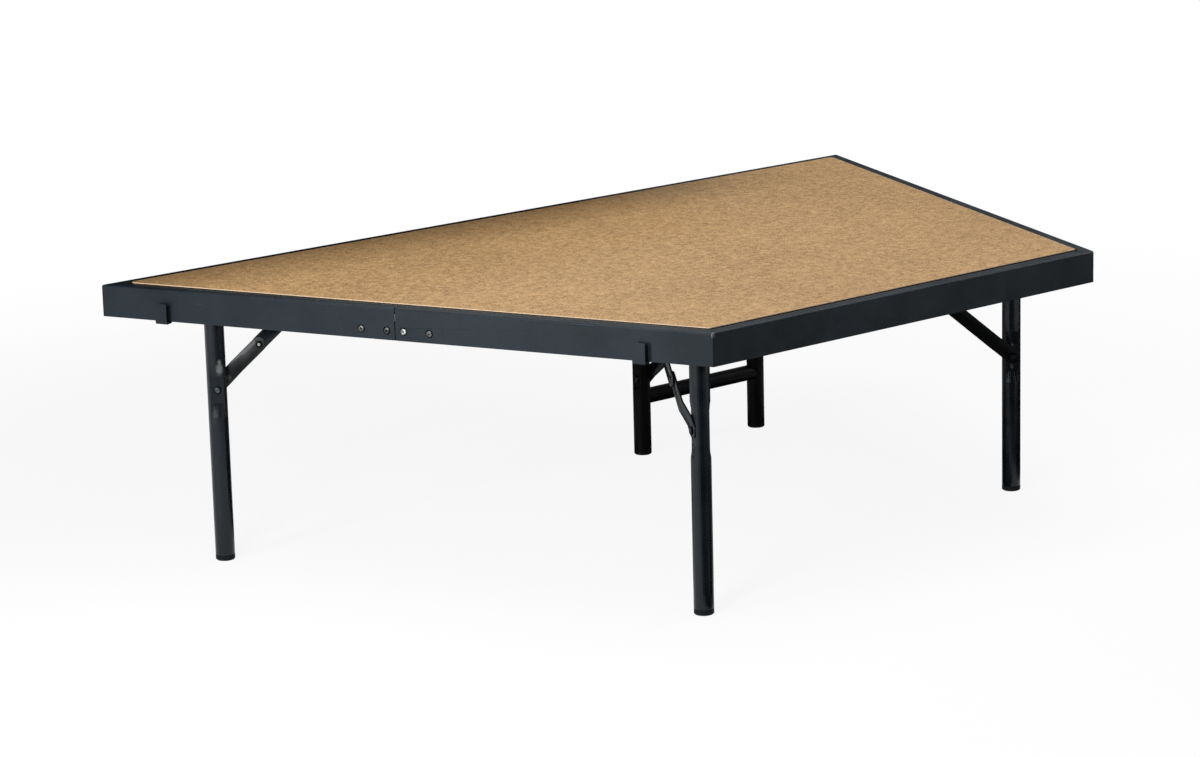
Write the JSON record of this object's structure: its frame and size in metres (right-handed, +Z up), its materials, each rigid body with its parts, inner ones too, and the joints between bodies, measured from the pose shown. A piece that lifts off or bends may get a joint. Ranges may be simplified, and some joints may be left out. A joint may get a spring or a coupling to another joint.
{
  "type": "folding stage deck",
  "caption": "Pie-shaped portable stage deck: a trapezoid hardboard top in a steel edge frame on round legs that fold under it, with locking braces and ganging clips.",
  "frame": {"origin": "on the floor, under the middle of the deck's bounding box", "axes": "+X along the long side to its right-hand end seen from the short side, +Y from the short side to the long side, +Z up"},
  "size_m": [1.5238, 0.9144, 0.408],
  "materials": {
    "black_frame": "satin slate-black powder coat",
    "black_leg": "semi-gloss black powder coat",
    "black_foot": "matte moulded black",
    "zinc": "bright zinc plate",
    "hardboard": "smooth tempered hardboard with a soft gloss",
    "plywood": "raw plywood"
  },
  "bodies": {
    "deck": {"rail_long": "black_frame", "rail_short": "black_frame", "rail_right": "black_frame", "rail_left_rear": "black_frame", "rail_left_front": "black_frame", "splice_plate": "black_frame", "splice_screw_1": "zinc", "splice_screw_2": "zinc", "splice_screw_3": "zinc", "splice_screw_4": "zinc", "rear_cross_member": "black_frame", "centre_member": "black_frame", "deck_hardboard": "hardboard", "deck_plywood": "plywood", "leg_bracket_rear_left": "black_frame", "leg_pivot_rear_left": "zinc", "anchor_pin_rear_left": "zinc", "leg_bracket_front_left": "black_frame", "leg_pivot_front_left": "zinc", "anchor_pin_front_left": "zinc", "leg_bracket_front_right": "black_frame", "leg_pivot_front_right": "zinc", "anchor_pin_front_right": "zinc", "leg_clevis_pair_left": "black_frame", "leg_clevis_pair_right": "black_frame", "leg_pivot_pair_left": "zinc", "leg_pivot_pair_right": "zinc", "pair_anchor_bracket": "black_frame", "pair_anchor_screw_1": "zinc", "pair_anchor_screw_2": "zinc", "anchor_pin_pair": "zinc"},
    "leg_rear_left": {"leg_tube_rear_left": "black_leg", "foot_rear_left": "black_foot", "leg_bolt_rear_left": "black_leg"},
    "link_lower_rear_left": {"brace_lower_rear_left": "black_leg", "brace_rivet_rear_left": "zinc"},
    "link_upper_rear_left": {"brace_upper_rear_left": "black_leg"},
    "leg_front_left": {"leg_tube_front_left": "black_leg", "foot_front_left": "black_foot", "leg_bolt_front_left": "black_leg"},
    "link_lower_front_left": {"brace_lower_front_left": "black_leg", "brace_rivet_front_left": "zinc"},
    "link_upper_front_left": {"brace_upper_front_left": "black_leg"},
    "leg_front_right": {"leg_tube_front_right": "black_leg", "foot_front_right": "black_foot", "leg_bolt_front_right": "black_leg"},
    "link_lower_front_right": {"brace_lower_front_right": "black_leg", "brace_rivet_front_right": "zinc"},
    "link_upper_front_right": {"brace_upper_front_right": "black_leg"},
    "leg_pair": {"leg_tube_pair_left": "black_leg", "leg_tube_pair_right": "black_leg", "pair_crossbar": "black_leg", "foot_pair_left": "black_foot", "foot_pair_right": "black_foot", "leg_bolt_pair": "black_leg"},
    "link_lower_pair": {"brace_lower_pair": "black_leg", "brace_rivet_pair": "zinc"},
    "link_upper_pair": {"brace_upper_pair": "black_leg"},
    "clip_rear": {"clip_rear": "black_frame"},
    "clip_front": {"clip_front": "black_frame"}
  },
  "joints": [
    {"name": "fold_rear_left", "type": "hinge", "parent": "deck", "child": "leg_rear_left", "pos_m": [-0.67324, 0.3028, 0.3713], "axis": [-0.5572, -0.8304, 0], "range_deg": [0, 90]},
    {"name": "link_lower_rear_left_turn", "type": "hinge", "parent": "leg_rear_left", "child": "link_lower_rear_left", "pos_m": [-0.67324, 0.3028, 0.2583], "axis": [-0.5572, -0.8304, 0], "range_deg": [-132.83, 0]},
    {"name": "link_upper_rear_left_turn", "type": "hinge", "parent": "deck", "child": "link_upper_rear_left", "pos_m": [-0.57193, 0.23483, 0.3713], "axis": [-0.5572, -0.8304, 0], "range_deg": [0, 137.21]},
    {"name": "fold_front_left", "type": "hinge", "parent": "deck", "child": "leg_front_left", "pos_m": [-0.37269, -0.4128, 0.3713], "axis": [0.9063, -0.4226, 0], "range_deg": [0, 90]},
    {"name": "link_lower_front_left_turn", "type": "hinge", "parent": "leg_front_left", "child": "link_lower_front_left", "pos_m": [-0.37269, -0.4128, 0.2623], "axis": [0.9063, -0.4226, 0], "range_deg": [-131.8, 0]},
    {"name": "link_upper_front_left_turn", "type": "hinge", "parent": "deck", "child": "link_upper_front_left", "pos_m": [-0.32113, -0.30223, 0.3713], "axis": [0.9063, -0.4226, 0], "range_deg": [0, 138.24]},
    {"name": "fold_front_right", "type": "hinge", "parent": "deck", "child": "leg_front_right", "pos_m": [0.41496, -0.2677, 0.3713], "axis": [0.6157, 0.788, 0], "range_deg": [0, 90]},
    {"name": "link_lower_front_right_turn", "type": "hinge", "parent": "leg_front_right", "child": "link_lower_front_right", "pos_m": [0.41496, -0.2677, 0.2143], "axis": [0.6157, 0.788, 0], "range_deg": [-130.65, 0]},
    {"name": "link_upper_front_right_turn", "type": "hinge", "parent": "deck", "child": "link_upper_front_right", "pos_m": [0.27075, -0.15503, 0.3713], "axis": [0.6157, 0.788, 0], "range_deg": [0, 139.39]},
    {"name": "fold_pair", "type": "hinge", "parent": "deck", "child": "leg_pair", "pos_m": [0.1753, 0.3228, 0.3713], "axis": [-1, 0, 0], "range_deg": [0, 90]},
    {"name": "link_lower_pair_turn", "type": "hinge", "parent": "leg_pair", "child": "link_lower_pair", "pos_m": [0.1753, 0.3228, 0.1263], "axis": [-1, 0, 0], "range_deg": [0, 45.48]},
    {"name": "link_upper_pair_turn", "type": "hinge", "parent": "deck", "child": "link_upper_pair", "pos_m": [0.1753, 0.0738, 0.3713], "axis": [-1, 0, 0], "range_deg": [-44.56, 0]},
    {"name": "clip_rear_slide", "type": "slide", "parent": "deck", "child": "clip_rear", "axis": [0, 0, -1], "range_m": [0, 0.035]},
    {"name": "clip_front_slide", "type": "slide", "parent": "deck", "child": "clip_front", "axis": [0, 0, -1], "range_m": [0, 0.035]}
  ],
  "couplings": [
    {"joint": "link_lower_rear_left_turn", "follows": "fold_rear_left", "ratio": -1.4756},
    {"joint": "link_upper_rear_left_turn", "follows": "fold_rear_left", "ratio": 1.5244},
    {"joint": "link_lower_front_left_turn", "follows": "fold_front_left", "ratio": -1.4642},
    {"joint": "link_upper_front_left_turn", "follows": "fold_front_left", "ratio": 1.5358},
    {"joint": "link_lower_front_right_turn", "follows": "fold_front_right", "ratio": -1.4514},
    {"joint": "link_upper_front_right_turn", "follows": "fold_front_right", "ratio": 1.5486},
    {"joint": "link_lower_pair_turn", "follows": "fold_pair", "ratio": 0.50516},
    {"joint": "link_upper_pair_turn", "follows": "fold_pair", "ratio": -0.49484}
  ]
}
